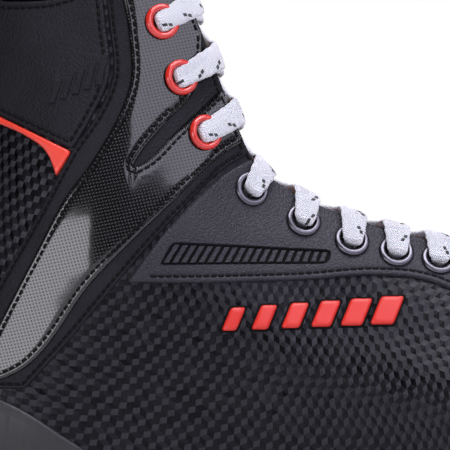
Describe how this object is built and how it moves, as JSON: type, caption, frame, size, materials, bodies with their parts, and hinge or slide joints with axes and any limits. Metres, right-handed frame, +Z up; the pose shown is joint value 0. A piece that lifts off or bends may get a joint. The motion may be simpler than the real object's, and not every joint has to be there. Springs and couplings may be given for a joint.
{
  "type": "ice hockey skate",
  "caption": "Right ice hockey skate: laced black boot with a glossy ankle strap and red details, folding tongue top, flexing tendon guard, blade holder and steel runner.",
  "frame": {"origin": "where the middle of the runner's flat stretch meets the ice", "axes": "+X to the toe, +Z up, -Y the outer side of a right foot"},
  "size_m": [0.2941, 0.101, 0.2702],
  "materials": {
    "outsole": "semi-gloss composite",
    "board": "pressed fibre board",
    "footbed": "knitted cover on foam",
    "quarter": "synthetic leather with a printed cube pattern",
    "toe_cap": "moulded, fine grain",
    "felt": "felt",
    "lining": "brushed nylon",
    "leather": "pebbled, satin",
    "gloss_strap": "glossy patent vinyl",
    "red_trim": "satin red vinyl",
    "red_motif": "moulded red rubber print",
    "guard": "moulded plastic",
    "eyelet_dark": "dark lacquered metal",
    "eyelet_red": "glossy red lacquer",
    "lace": "flat herringbone weave",
    "holder": "moulded nylon",
    "steel": "ground and polished",
    "bolt_steel": "plated",
    "rivet": "plated"
  },
  "bodies": {
    "boot": {"outsole": "outsole", "lasting_board": "board", "footbed": "footbed", "quarter_lateral": "quarter", "quarter_medial": "quarter", "toe_cap": "toe_cap", "toe_lining": "felt", "lining_lateral": "lining", "lining_medial": "lining", "heel_counter": "toe_cap", "back_stay": "leather", "collar_roll": "leather", "eyestay_lateral": "leather", "eyestay_medial": "leather", "strap_base_lateral": "leather", "strap_base_medial": "leather", "strap_lateral": "gloss_strap", "strap_medial": "gloss_strap", "ankle_panel_lateral": "leather", "ankle_panel_medial": "leather", "trim_lateral": "red_trim", "trim_medial": "red_trim", "motif_lateral": "red_motif", "motif_medial": "red_motif", "tongue": "felt", "eyelets_dark_lateral": "eyelet_dark", "eyelets_dark_medial": "eyelet_dark", "eyelets_red_lateral": "eyelet_red", "eyelets_red_medial": "eyelet_red", "lace": "lace", "holder": "holder", "runner": "steel", "runner_bolts": "bolt_steel", "runner_nuts": "bolt_steel", "rivets_front": "rivet", "rivets_rear": "rivet"},
    "tongue_fold": {"tongue_top": "felt"},
    "guard": {"tendon_guard": "guard", "tendon_pad": "lining"}
  },
  "joints": [
    {"name": "tongue_hinge", "type": "hinge", "parent": "boot", "child": "tongue_fold", "pos_m": [-0.0696, 0, 0.247], "axis": [0, 1, 0], "range_deg": [0, 60]},
    {"name": "guard_flex", "type": "hinge", "parent": "boot", "child": "guard", "pos_m": [-0.1349, 0, 0.2332], "axis": [0, -1, 0], "range_deg": [0, 22], "stiffness_Nm_per_rad": 1.2}
  ]
}
